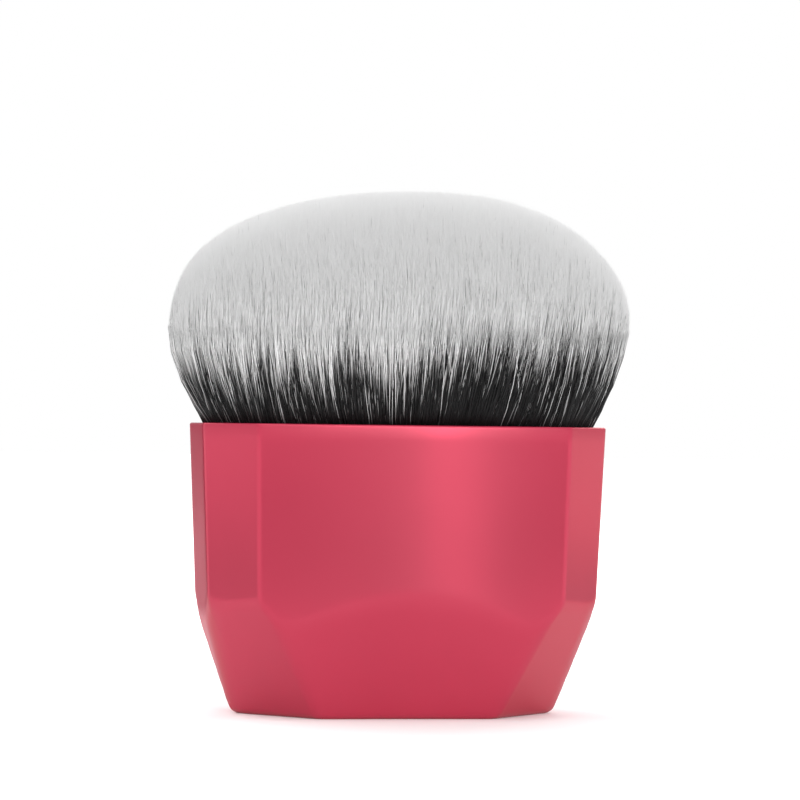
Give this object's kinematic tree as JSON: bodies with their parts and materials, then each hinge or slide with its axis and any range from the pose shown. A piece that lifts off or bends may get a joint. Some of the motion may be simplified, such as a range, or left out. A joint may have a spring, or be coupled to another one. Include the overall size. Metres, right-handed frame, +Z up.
{
  "type": "foundation brush",
  "caption": "Wide handle-less foundation brush: faceted lacquered shell that stands on its base, with a dense domed head of fanned bristles.",
  "frame": {"origin": "middle of the flat base that the brush stands on", "axes": "+Z up towards the bristles, X along the handle's long side, -Y towards the front"},
  "size_m": [0.0621, 0.0396, 0.0701],
  "materials": {
    "handle": "satin pearl lacquer, coral red",
    "weight": "plain cut steel",
    "ferrule": "drawn, bright",
    "resin": "cast clear amber resin",
    "bristles": "soft fine fibre, black at the root and white at the tip"
  },
  "bodies": {
    "root": {"handle_shell": "handle", "balance_weight": "weight", "ferrule_cup": "ferrule", "glue_plug": "resin", "bristle_head": "bristles"}
  },
  "joints": []
}
